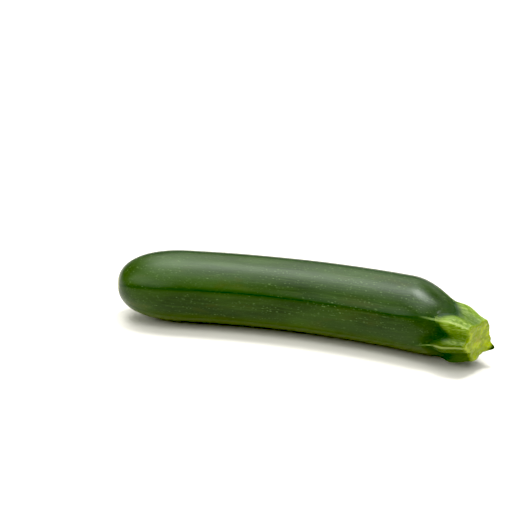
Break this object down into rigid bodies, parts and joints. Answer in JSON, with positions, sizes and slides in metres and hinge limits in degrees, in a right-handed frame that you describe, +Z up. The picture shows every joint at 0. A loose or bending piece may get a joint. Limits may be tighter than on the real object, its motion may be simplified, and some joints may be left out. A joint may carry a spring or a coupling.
{
  "type": "courgette",
  "caption": "Whole dark green courgette lying on its side, slightly bowed, with blunt lengthwise ridges and a short pale green ribbed stem cut across its end.",
  "frame": {"origin": "the middle of the bounding box, at the height of the surface that it lies on", "axes": "+X along its length from the blossom end to the stem, +Z up, and -Y towards the hollow side of its bow"},
  "size_m": [0.2094, 0.0514, 0.0403],
  "materials": {
    "skin": "dark green waxy skin, satin gloss",
    "stem": "pale green fibrous rind, matte"
  },
  "bodies": {
    "root": {"fruit": "skin", "stem": "stem"}
  },
  "joints": []
}
